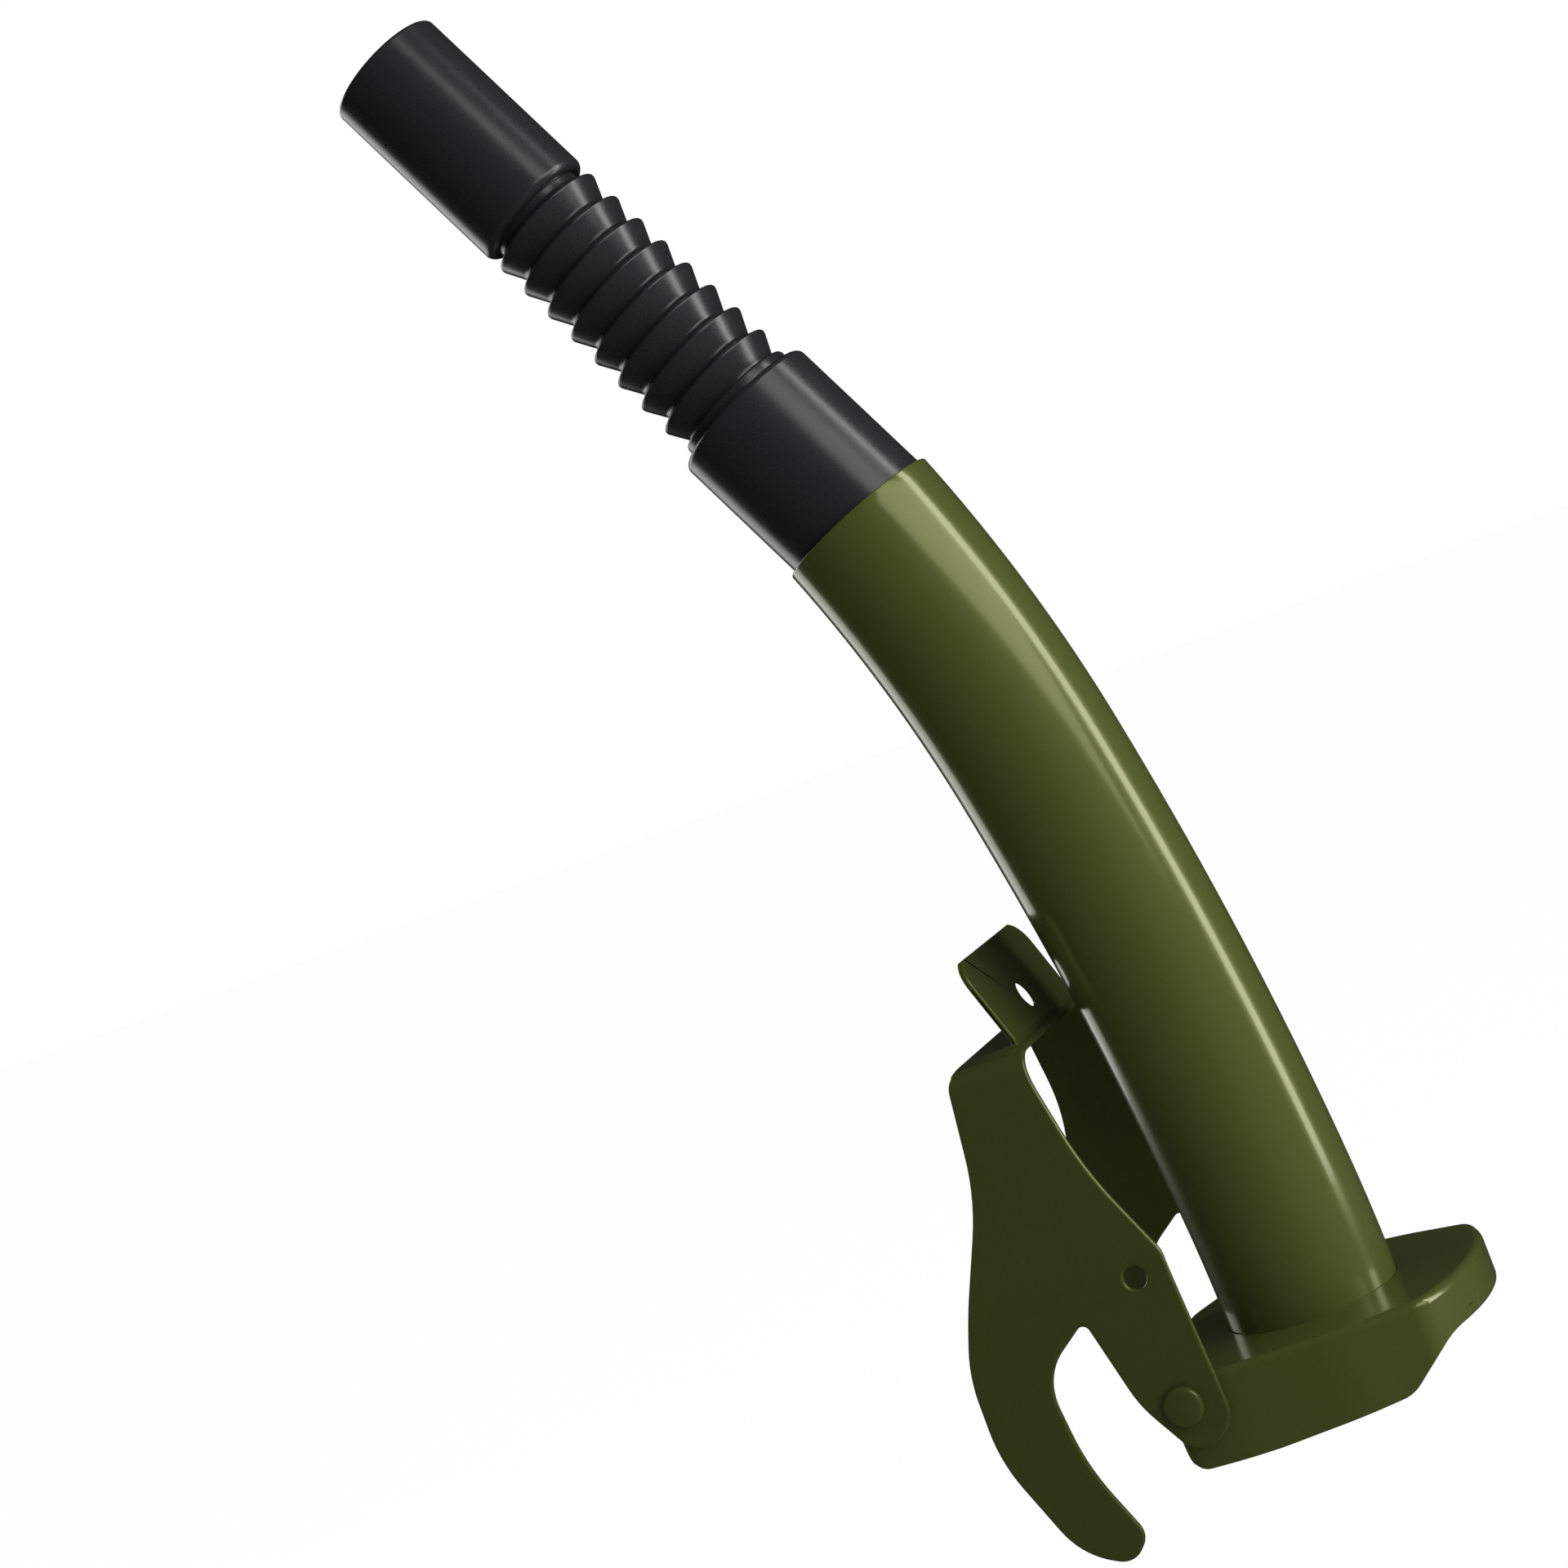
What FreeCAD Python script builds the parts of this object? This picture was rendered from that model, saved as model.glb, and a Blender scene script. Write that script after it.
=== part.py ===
import FreeCAD, Part
import math
import os
from FreeCAD import Placement, Rotation, Vector

# Flexible pouring spout for a steel fuel can: a bent steel tube on a stamped
# clamp cap, with a hook lever, and a ribbed outlet hose pushed into its far end.
# Millimetres. The origin is the centre of the sealing face under the cap, +Z runs
# up the tube, +X points at the cap's front lip and the lever stands at -X.

# Bent tube
tube_outer_r = 16.0
tube_wall = 1.0
tube_inlet_below_seal = 4.0
tube_bends = [(20.0, 3.4), (34.5, 2.9), (54.5, 4.4), (54.5, 11.1)]   # arc length, degrees

# Stamped cap, its reach measured from the rim of the plate inside it
cap_sheet = 1.8
cap_top_round = 1.7
cap_skirt_depth = 16.7
cap_lip_depth = 8.2
cap_back_depth = 11.0
cap_side_room = 5.75
cap_front_room = 5.45
cap_back_room = 2.45
cap_front_narrowing = 9.1
cap_front_bow_r = 48.0
cap_front_bow_half_width = 20.0
cap_front_corner_r = 5.0
cap_side_bow_r = 40.0
cap_side_break = 20.5
cap_back_width = 19.0
cap_back_corner_r = 12.0
cap_side_wrap_r = 3.5
cap_step_start = 12.2
cap_step_end = 3.6
cap_rim_rise = 1.3
catch_reach = 2.7
catch_half_width = 12.0

# Seal under the cap, its ring measured from the tube
gasket_thickness = 4.0
gasket_gap = 1.1
gasket_width = 7.9
cup_sheet = 1.2
cup_lip_depth = 2.5
retainer_wall = 1.0
retainer_flange = 2.45
retainer_flange_thickness = 1.2

# Vent pipe inside the tube
vent_outer_r = 3.2
vent_wall = 0.6
vent_inlet_below_seal = 4.5
vent_gap_to_sleeve = 2.0

# Clamp lever, its outline measured from the pivot
lever_sheet = 1.2
pivot_inset = 8.65
pivot_above_seal = 3.1
lever_height = 66.9
leg_bend_height = 26.4
leg_lean_in = 12.0
bridge_round = 6.0
leg_bend_round = 25.0
tab_half_width = 18.0
tab_height = 17.2
tab_lean = 18.8
tab_root_x = -9.9
tab_corner_r = 5.0
tab_hole_r = 2.7
tab_hole_height = 5.9
pin_hole_r = 2.15
pin_hole_height = 24.2

# Rivets and washers
rivet_r = 2.4
rivet_head_r = 3.75
rivet_head_height = 1.5
rivet_tail_r = 3.4
rivet_tail_height = 1.0
washer_r = 3.9
washer_thickness = 0.9

# Outlet hose, lengths along its own axis from the tube's mouth
hose_kink = 4.9
sleeve_r = 14.85
sleeve_length = 29.1
sleeve_shoulder_r = 1.2
sleeve_spigot_length = 18.0
sleeve_bore_r = 9.6
sleeve_socket_depth = 17.0
hose_spigot_r = 11.9
hose_collar_r = 12.25
hose_collar_length = 2.4
rib_count = 8
rib_pitch = 6.1
rib_fall = 1.2
rib_flat = 0.75
rib_crest_first_r = 12.5
rib_crest_last_r = 11.75
rib_root_first_r = 10.6
rib_root_last_r = 10.1
hose_bore_r = 8.6
neck_r = 9.8
neck_length = 1.7
hose_tail_r = 10.35
hose_tail_length = 14.0
cuff_r = 12.05
cuff_length = 39.4
cuff_bore_r = 10.0
cuff_back_round = 1.5
cuff_tip_round = 0.7

# Clearances
fit_gap = 0.05
pivot_gap = 0.06
side_gap = 0.1
spigot_gap = 0.08

# Levels and places that follow from the sizes above
cup_top_z = gasket_thickness + cup_sheet
cap_top_z = cup_top_z + cap_sheet
cap_rim_z = cap_top_z - cap_skirt_depth
lip_rim_z = cap_top_z - cap_lip_depth
back_rim_z = cap_top_z - cap_back_depth
tube_inner_r = tube_outer_r - tube_wall
gasket_inner_r = tube_outer_r + gasket_gap
gasket_outer_r = gasket_inner_r + gasket_width
plate_r = gasket_outer_r + fit_gap + cup_sheet
cap_rivet_half_width = plate_r + cap_side_room
cap_front_half_width = cap_rivet_half_width - cap_front_narrowing
cap_front_x = plate_r + cap_front_room
cap_back_x = -(plate_r + cap_back_room)
cap_step_start_x = cap_front_x - cap_step_start
cap_step_end_x = cap_front_x - cap_step_end
pivot_x = pivot_inset - plate_r
pivot_z = pivot_above_seal
leg_inner_y = cap_rivet_half_width + washer_thickness + side_gap
leg_outer_y = leg_inner_y + lever_sheet
bridge_half_width = leg_outer_y - leg_lean_in
lever_top_z = pivot_z + lever_height
reach = 3 * lever_height


def side_view(u, v):
    return Vector(u, 0, v)


def plan_view(u, v):
    return Vector(u, v, 0)


def front_view(u, v):
    return Vector(0, u, v)


def unit(a, b):
    length = math.hypot(b[0] - a[0], b[1] - a[1])
    return ((b[0] - a[0]) / length, (b[1] - a[1]) / length)


def rounded_edges(points, radii, place, closed=True):
    """Lines through the points, with a tangent arc of the given radius at each corner."""
    count = len(points)
    corners = []
    for i, (point, radius) in enumerate(zip(points, radii)):
        open_end = not closed and i in (0, count - 1)
        if radius == 0 or open_end:
            corners.append((point, None, point))
            continue
        back = unit(point, points[i - 1])
        ahead = unit(point, points[(i + 1) % count])
        half_angle = math.acos(back[0] * ahead[0] + back[1] * ahead[1]) / 2
        run = radius / math.tan(half_angle)
        middle = unit((0, 0), (back[0] + ahead[0], back[1] + ahead[1]))
        depth = radius / math.sin(half_angle) - radius
        start = (point[0] + back[0] * run, point[1] + back[1] * run)
        end = (point[0] + ahead[0] * run, point[1] + ahead[1] * run)
        top = (point[0] + middle[0] * depth, point[1] + middle[1] * depth)
        corners.append((start, top, end))
    edges = []
    for i, (start, top, end) in enumerate(corners):
        if top:
            edges.append(Part.Arc(place(*start), place(*top), place(*end)).toShape())
        if closed or i < count - 1:
            following = corners[(i + 1) % count][0]
            if math.hypot(following[0] - end[0], following[1] - end[1]) > 1e-6:
                edges.append(Part.LineSegment(place(*end), place(*following)).toShape())
    return edges


def rounded_face(points, radii, place):
    return Part.Face(Part.Wire(rounded_edges(points, radii, place)))


def shifted(points, radii, distance, closed=True):
    """The same outline moved to its left by a distance, with its corner radii to match."""
    count = len(points)
    moved = []
    new_radii = []
    for i, point in enumerate(points):
        first = i == 0 and not closed
        last = i == count - 1 and not closed
        before = unit(points[i - 1], point) if not first else unit(point, points[i + 1])
        after = unit(point, points[(i + 1) % count]) if not last else before
        normal = (-(before[1] + after[1]), before[0] + after[0])
        size = (normal[0] ** 2 + normal[1] ** 2) / 2
        moved.append((point[0] + normal[0] * distance / size, point[1] + normal[1] * distance / size))
        turn = before[0] * after[1] - before[1] * after[0]
        change = -distance if turn > 0 else distance
        new_radii.append(max(radii[i] + change, 0.0) if radii[i] else 0.0)
    return moved, new_radii


def sheet_face(points, radii, thickness, place):
    """The section of a bent sheet: a path along one side and its copy along the other."""
    other, other_radii = shifted(points, radii, thickness, closed=False)
    near = rounded_edges(points, radii, place, closed=False)
    far = rounded_edges(other, other_radii, place, closed=False)
    ends = [Part.LineSegment(place(*points[0]), place(*other[0])).toShape(),
            Part.LineSegment(place(*points[-1]), place(*other[-1])).toShape()]
    return Part.Face(Part.Wire(Part.__sortEdges__(near + far + ends)))


def ring(outer_r, inner_r, low_z, high_z):
    outer = Part.makeCylinder(outer_r, high_z - low_z, Vector(0, 0, low_z))
    return outer.cut(Part.makeCylinder(inner_r, high_z - low_z + 2, Vector(0, 0, low_z - 1)))


def across(radius, x, z):
    """A cylinder through everything from side to side."""
    return Part.makeCylinder(radius, 2 * reach, Vector(x, -reach, z), Vector(0, 1, 0))


def both_sides(shape):
    return Part.makeCompound([shape, shape.mirror(Vector(0, 0, 0), Vector(0, 1, 0))])


def tube_path(low_z, bends, offset=0.0, trim=0.0):
    """Edges of a line up from low_z and then tangent arcs that lean towards -X."""
    start = Vector(offset, 0, low_z)
    corner = Vector(offset, 0, cap_top_z)
    edges = [Part.LineSegment(start, corner).toShape()]
    lean = 0.0
    for i, (length, angle) in enumerate(bends):
        radius = length / math.radians(angle)
        turned = math.radians(angle)
        if i == len(bends) - 1:
            turned -= trim / radius
        radius += offset
        centre = corner - Vector(radius * math.cos(lean), 0, radius * math.sin(lean))
        ends = []
        for share in (0.5, 1.0):
            beta = lean + turned * share
            ends.append(centre + Vector(radius * math.cos(beta), 0, radius * math.sin(beta)))
        edges.append(Part.Arc(corner, ends[0], ends[1]).toShape())
        corner = ends[1]
        lean += turned
    return edges, corner, lean


def swept(edges, radius, start, direction):
    profile = Part.Wire(Part.Circle(start, direction, radius).toShape())
    return Part.Wire(edges).makePipeShell([profile], True, False)


def tube_end():
    corner, lean = tube_path(-tube_inlet_below_seal, tube_bends)[1:]
    return corner, math.degrees(lean)


def on_hose(shape):
    """Moves a shape built along +Z from the origin onto the hose's axis."""
    corner, lean = tube_end()
    shape.Placement = Placement(corner, Rotation(Vector(0, 1, 0), -(lean + hose_kink)))
    return shape


def end_arc(back, ahead):
    """The tube's last arc, from a distance before its mouth to a little past it."""
    corner, lean = tube_end()
    length, angle = tube_bends[-1]
    radius = length / math.radians(angle)
    lean = math.radians(lean)
    centre = corner - Vector(radius * math.cos(lean), 0, radius * math.sin(lean))
    points = []
    for along in (-back, (ahead - back) / 2, ahead):
        beta = lean + along / radius
        points.append(centre + Vector(radius * math.cos(beta), 0, radius * math.sin(beta)))
    beta = lean - back / radius
    direction = Vector(-math.sin(beta), 0, math.cos(beta))
    return [Part.Arc(*points).toShape()], points[0], direction


def make_spout_tube():
    low = -tube_inlet_below_seal
    edges = tube_path(low, tube_bends)[0]
    up = Vector(0, 0, 1)
    outer = swept(edges, tube_outer_r, Vector(0, 0, low), up)
    inner = swept(edges, tube_inner_r, Vector(0, 0, low), up)
    return outer.cut(inner)


def make_vent_tube():
    offset = tube_inner_r - vent_outer_r - side_gap
    low = -vent_inlet_below_seal
    trim = sleeve_spigot_length + vent_gap_to_sleeve
    edges = tube_path(low, tube_bends, offset, trim)[0]
    up = Vector(0, 0, 1)
    outer = swept(edges, vent_outer_r, Vector(offset, 0, low), up)
    inner = swept(edges, vent_outer_r - vent_wall, Vector(offset, 0, low), up)
    return outer.cut(inner)


def cap_outline():
    """Plan of the cap, counterclockwise, wide at the rivets and narrower at the bowed front lip."""
    bow = math.asin(cap_front_bow_half_width / cap_front_bow_r)
    tip_x = cap_front_x + cap_front_bow_r * (1 / math.cos(bow) - 1)
    corner_x = tip_x - cap_front_half_width * math.tan(bow)
    side_y = cap_front_half_width + 0.63 * cap_front_narrowing
    half = [(corner_x, cap_front_half_width, cap_front_corner_r),
            (cap_front_x - cap_side_break, side_y, cap_side_bow_r),
            (pivot_x + 6.5, cap_rivet_half_width, cap_side_bow_r),
            (pivot_x - 3.6, cap_rivet_half_width, cap_side_wrap_r),
            (cap_back_x + 0.6, cap_rivet_half_width - cap_back_width, cap_back_corner_r)]
    points = [(tip_x, 0.0)] + [(x, y) for x, y, r in half]
    radii = [cap_front_bow_r] + [r for x, y, r in half]
    points += [(x, -y) for x, y, r in reversed(half)]
    radii += [r for x, y, r in reversed(half)]
    return points, radii


def make_base_shell():
    points, radii = cap_outline()
    inner_points, inner_radii = shifted(points, radii, cap_sheet)
    blank_depth = cap_skirt_depth + 2
    down = Vector(0, 0, cap_top_z - blank_depth)
    body = rounded_face(points, radii, plan_view).extrude(Vector(0, 0, blank_depth))
    body.translate(down)
    top_edges = [e for e in body.Edges if e.BoundBox.ZMin > cap_top_z - 0.01]
    body = body.makeFillet(cap_top_round, top_edges)
    room = rounded_face(inner_points, inner_radii, plan_view)
    room = room.extrude(Vector(0, 0, blank_depth - cap_sheet))
    room.translate(down)
    body = body.cut(room).cut(make_rim_cutter())
    body = body.fuse(make_front_catch())
    body = body.cut(Part.makeCylinder(tube_outer_r + fit_gap, blank_depth + 2, down))
    body = body.cut(across(rivet_r + fit_gap, pivot_x, pivot_z))
    seat_y = cap_rivet_half_width - cap_sheet
    tail_seat = Part.makeCylinder(rivet_tail_r + fit_gap, 2 * rivet_tail_height,
                                  Vector(pivot_x, -seat_y, pivot_z), Vector(0, 1, 0))
    return body.cut(both_sides(tail_seat)).removeSplitter()


def make_rim_cutter():
    """Everything under the skirt's rim: shallow at the back, deep at the sides, up to the front lip."""
    rim = [(-reach, back_rim_z, 0), (pivot_x - 4.4, back_rim_z, 1.5), (pivot_x - 3.6, cap_rim_z, 4.0),
           (cap_step_start_x - 24, cap_rim_z, 60.0),
           (cap_step_start_x, cap_rim_z + cap_rim_rise, 6.0), (cap_step_end_x, lip_rim_z, 4.0),
           (reach, lip_rim_z, 0), (reach, cap_rim_z - 10, 0), (-reach, cap_rim_z - 10, 0)]
    face = rounded_face([(x, z) for x, z, r in rim], [r for x, z, r in rim], side_view)
    cutter = face.extrude(Vector(0, 2 * reach, 0))
    cutter.translate(Vector(0, -reach, 0))
    return cutter


def make_front_catch():
    """The lip turned inwards under the cap's front edge, which grips the can's bracket."""
    wall_x = cap_front_x - cap_sheet
    catch = Part.makeBox(catch_reach + cap_sheet / 2, 2 * catch_half_width, cap_sheet,
                         Vector(wall_x - catch_reach, -catch_half_width, lip_rim_z))
    corners = [e for e in catch.Edges if e.BoundBox.ZLength > cap_sheet / 2 and e.BoundBox.XMax < wall_x]
    return catch.makeFillet(catch_reach * 0.7, corners)


def make_backing_plate():
    plate = ring(plate_r, tube_outer_r + fit_gap, gasket_thickness, cup_top_z)
    lip_low = gasket_thickness - cup_lip_depth
    lip = ring(plate_r, gasket_outer_r + fit_gap, lip_low, gasket_thickness)
    plate = plate.fuse(lip).removeSplitter()
    outer = [e for e in plate.Edges if e.BoundBox.ZMin > cup_top_z - 0.01 and e.BoundBox.XMax > gasket_outer_r]
    return plate.makeFillet(cup_sheet * 0.7, outer)


def make_neck_gasket():
    """Rubber ring with a step at its inner edge, which the retainer's flange holds flush."""
    gasket = ring(gasket_outer_r, gasket_inner_r, 0, gasket_thickness)
    low = [e for e in gasket.Edges if e.BoundBox.ZMax < 0.01 and e.BoundBox.XMax > gasket_inner_r + 1]
    gasket = gasket.makeFillet(gasket_thickness * 0.2, low)
    step_r = tube_outer_r + retainer_wall + retainer_flange + 2 * fit_gap
    return gasket.cut(ring(step_r, gasket_inner_r - 1, 0, retainer_flange_thickness))


def make_gasket_retainer():
    inner = tube_outer_r + fit_gap
    sleeve = ring(inner + retainer_wall, inner, 0, gasket_thickness)
    flange = ring(inner + retainer_wall + retainer_flange, inner, 0, retainer_flange_thickness)
    return sleeve.fuse(flange).removeSplitter()


def lever_outline():
    """Side view of the lever as (x, z, corner radius), clockwise from its top back corner."""
    top = lever_height
    rise = lever_height - leg_bend_height
    hook = [(-24.4, top, 3.5), (-9.1, top, 1.5), (-9.1, top - 0.12 * rise, 0.49 * rise),
            (-3.4, leg_bend_height + 0.435 * rise, 1.73 * rise),
            (6.3, 27.6, 5.0), (7.9, -8.3, 6.8), (-1.6, -8.3, 4.0), (-7.9, 2.0, 22.0),
            (-12.0, 19.4, 1.3), (-22.8, 11.6, 11.0), (-21.4, -6.0, 42.0), (-15.3, -20.6, 3.6),
            (-19.6, -25.2, 4.2), (-28.6, -21.2, 14.0), (-36.7, -1.0, 30.0), (-36.3, 15.6, 30.0),
            (-24.9, leg_bend_height + 0.46 * rise, rise)]
    points = [(pivot_x + x, pivot_z + z) for x, z, r in hook]
    return points, [r for x, z, r in hook]


def make_lever_channel():
    """The sheet bent to an upside down U: two legs that lean in above a soft bend."""
    low_z = pivot_z - 40.0
    bend_z = pivot_z + leg_bend_height
    path = [(-leg_outer_y, low_z), (-leg_outer_y, bend_z), (-bridge_half_width, lever_top_z),
            (bridge_half_width, lever_top_z), (leg_outer_y, bend_z), (leg_outer_y, low_z)]
    radii = [0, leg_bend_round, bridge_round, bridge_round, leg_bend_round, 0]
    section = sheet_face(path, radii, -lever_sheet, front_view)
    channel = section.extrude(Vector(2 * reach, 0, 0))
    channel.translate(Vector(-reach, 0, 0))
    return channel


def make_lever_tab():
    """The thumb tab: it bends up from the bridge's front edge and leans back."""
    lean = math.radians(tab_lean)
    root_x = pivot_x + tab_root_x
    low_z = lever_top_z - lever_sheet
    length = (tab_height + lever_sheet) / math.cos(lean)
    tip = (root_x - length * math.sin(lean), low_z + length * math.cos(lean))
    path = [(root_x - 8.0, low_z), (root_x, low_z), tip]
    strip = sheet_face(path, [0, lever_sheet + 0.8, 0], lever_sheet, side_view)
    strip = strip.extrude(Vector(0, 2 * tab_half_width, 0))
    strip.translate(Vector(0, -tab_half_width, 0))
    top_z = lever_top_z + tab_height
    shape = [(-tab_half_width, low_z - 5), (tab_half_width, low_z - 5),
             (tab_half_width, top_z), (-tab_half_width, top_z)]
    shield = rounded_face(shape, [0, 0, tab_corner_r, tab_corner_r], front_view)
    shield = shield.extrude(Vector(2 * reach, 0, 0))
    shield.translate(Vector(-reach, 0, 0))
    strip = strip.common(shield)
    hole_z = lever_top_z + tab_hole_height
    hole_x = root_x - (hole_z - low_z) * math.tan(lean)
    inwards = Vector(-math.cos(lean), 0, -math.sin(lean))
    hole = Part.makeCylinder(tab_hole_r, 12, Vector(hole_x, 0, hole_z) - inwards * 5, inwards)
    return strip, hole


def make_clamp_lever():
    points, radii = lever_outline()
    blank = rounded_face(points, radii, side_view).extrude(Vector(0, 2 * reach, 0))
    blank.translate(Vector(0, -reach, 0))
    lever = make_lever_channel().common(blank)
    tab, tab_hole = make_lever_tab()
    lever = lever.fuse(tab).removeSplitter()
    lever = lever.cut(tab_hole)
    lever = lever.cut(across(rivet_r + pivot_gap, pivot_x, pivot_z))
    return lever.cut(across(pin_hole_r, pivot_x, pivot_z + pin_hole_height))


def make_rivet():
    """One rivet at the near side: a domed head outside and its formed tail inside."""
    tail_y = cap_rivet_half_width - cap_sheet
    head_y = leg_outer_y + side_gap
    sphere_r = (rivet_head_r ** 2 + rivet_head_height ** 2) / (2 * rivet_head_height)
    dome = Part.makeSphere(sphere_r, Vector(pivot_x, -(head_y + rivet_head_height - sphere_r), pivot_z))
    slab = Part.makeCylinder(rivet_head_r + 1, sphere_r, Vector(pivot_x, -head_y, pivot_z), Vector(0, -1, 0))
    shank = Part.makeCylinder(rivet_r, head_y - tail_y + 0.5, Vector(pivot_x, 0.5 - tail_y, pivot_z),
                              Vector(0, -1, 0))
    tail = Part.makeCylinder(rivet_tail_r, rivet_tail_height,
                             Vector(pivot_x, rivet_tail_height - tail_y, pivot_z), Vector(0, -1, 0))
    return dome.common(slab).fuse([shank, tail]).removeSplitter()


def make_washer():
    start = Vector(pivot_x, -cap_rivet_half_width, pivot_z)
    disc = Part.makeCylinder(washer_r, washer_thickness, start, Vector(0, -1, 0))
    return disc.cut(across(rivet_r + fit_gap, pivot_x, pivot_z))


def make_coupling_sleeve():
    """Black sleeve: a curved spigot inside the tube and a straight cuff outside it."""
    corner, lean = tube_end()
    cuff = Part.makeCylinder(sleeve_r, sleeve_length + sleeve_r, Vector(0, 0, -sleeve_r))
    top = [e for e in cuff.Edges if e.BoundBox.ZMin > sleeve_length - 0.01]
    cuff = on_hose(cuff.makeFillet(sleeve_shoulder_r, top))
    outside = Part.makeBox(2 * reach, 2 * reach, reach, Vector(-reach, -reach, 0))
    outside.Placement = Placement(corner, Rotation(Vector(0, 1, 0), -lean)).multiply(outside.Placement)
    cuff = cuff.common(outside)
    edges, start, direction = end_arc(sleeve_spigot_length, 0.0)
    spigot = swept(edges, tube_inner_r - spigot_gap, start, direction)
    sleeve = cuff.fuse(spigot)
    edges, start, direction = end_arc(sleeve_spigot_length, 1.0)
    sleeve = sleeve.cut(swept(edges, sleeve_bore_r, start, direction))
    bore = Part.makeCylinder(sleeve_bore_r, sleeve_length + 2, Vector(0, 0, -1))
    socket = Part.makeCylinder(hose_spigot_r + fit_gap, sleeve_socket_depth + 1,
                               Vector(0, 0, sleeve_length - sleeve_socket_depth))
    return sleeve.cut(on_hose(bore.fuse(socket)))


def make_corrugated_hose():
    """Ribbed hose: plain ends, and saw-tooth ribs as one ruled loft, four circles each."""
    collar_end = sleeve_length + fit_gap + hose_collar_length
    circles = []
    for rib in range(rib_count):
        share = rib / (rib_count - 1)
        crest = rib_crest_first_r + share * (rib_crest_last_r - rib_crest_first_r)
        root = rib_root_first_r + share * (rib_root_last_r - rib_root_first_r)
        start = collar_end + rib * rib_pitch
        fall = start + rib_pitch - rib_fall
        circles += [(start, root), (fall - rib_flat, crest), (fall, crest), (start + rib_pitch - 0.1, root)]
    wires = [Part.Wire(Part.Circle(Vector(0, 0, s), Vector(0, 0, 1), r).toShape()) for s, r in circles]
    ribs = Part.makeLoft(wires, True, True)
    ribs_end = circles[-1][0]
    low = sleeve_length - sleeve_socket_depth + fit_gap
    collar_start = sleeve_length + fit_gap
    spigot = Part.makeCylinder(hose_spigot_r, collar_start - low, Vector(0, 0, low))
    collar = Part.makeCylinder(hose_collar_r, hose_collar_length, Vector(0, 0, collar_start))
    neck = Part.makeCylinder(neck_r, neck_length, Vector(0, 0, ribs_end))
    tail = Part.makeCylinder(hose_tail_r, hose_tail_length, Vector(0, 0, ribs_end + neck_length))
    hose = ribs.fuse([spigot, collar, neck, tail])
    length = ribs_end + neck_length + hose_tail_length
    hose = hose.cut(Part.makeCylinder(hose_bore_r, length, Vector(0, 0, 1)))
    print("hose ribs", rib_count, "from", round(collar_end, 2), "to", round(ribs_end, 2))
    return on_hose(hose)


def hose_neck_start():
    return sleeve_length + fit_gap + hose_collar_length + rib_count * rib_pitch - 0.1


def make_outlet_cuff():
    back = hose_neck_start() + neck_length - 0.3
    cuff = Part.makeCylinder(cuff_r, cuff_length, Vector(0, 0, back))
    for at, radius in ((back, cuff_back_round), (back + cuff_length, cuff_tip_round)):
        edges = [e for e in cuff.Edges if abs(e.BoundBox.ZMin - at) < 0.01 and e.BoundBox.ZLength < 0.01]
        cuff = cuff.makeFillet(radius, edges)
    socket_length = hose_tail_length + 0.3 + fit_gap
    socket = Part.makeCylinder(hose_tail_r + fit_gap, socket_length + 1, Vector(0, 0, back - 1))
    bore = Part.makeCylinder(cuff_bore_r, cuff_length + 2, Vector(0, 0, back - 1))
    return on_hose(cuff.cut(socket).cut(bore))


def report_places():
    corner, lean = tube_end()
    angle = math.radians(lean + hose_kink)
    axis = Vector(-math.sin(angle), 0, math.cos(angle))
    print("tube mouth", corner, "lean", round(lean, 2), "hose lean", round(lean + hose_kink, 2))
    middle = sleeve_length + fit_gap + hose_collar_length + rib_count * rib_pitch / 2
    print("hose axis", axis, "flex centre", corner + axis * middle)
    back = hose_neck_start() + neck_length - 0.3
    print("cuff from", corner + axis * back, "to", corner + axis * (back + cuff_length))


PIECES = {
    "base_shell": make_base_shell,
    "backing_plate": make_backing_plate,
    "neck_gasket": make_neck_gasket,
    "gasket_retainer": make_gasket_retainer,
    "spout_tube": make_spout_tube,
    "vent_tube": make_vent_tube,
    "clamp_lever": make_clamp_lever,
    "pivot_rivets": lambda: both_sides(make_rivet()),
    "pivot_washers": lambda: both_sides(make_washer()),
    "coupling_sleeve": make_coupling_sleeve,
    "corrugated_hose": make_corrugated_hose,
    "outlet_cuff": make_outlet_cuff,
}

os.makedirs("parts", exist_ok=True)
report_places()
for name, make in PIECES.items():
    shape = make()
    box = shape.BoundBox
    print(name, "solids", len(shape.Solids), "valid", shape.isValid(), "volume", round(shape.Volume, 1),
          [round(v, 1) for v in (box.XMin, box.YMin, box.ZMin, box.XMax, box.YMax, box.ZMax)])
    shape.exportStep("parts/" + name + ".step")
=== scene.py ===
# %% [markdown]
# # A pouring spout for a fuel can
# The real object is a bent steel tube on a stamped cap. A hook lever clamps the cap on the can's
# neck, and a black ribbed hose in the tube's far end bends into the filler neck of a vehicle.
# The solids are ready, so this lesson gives them their looks: rounded edges, gloss paint, satin
# plastic, soft light. The solids could be painted as they are, but their edges are too sharp to
# catch light, so most pieces here are finished copies of the solids or new meshes over them.

# %% Load the solids
import math

import bpy
from mathutils import Matrix, Vector


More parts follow.
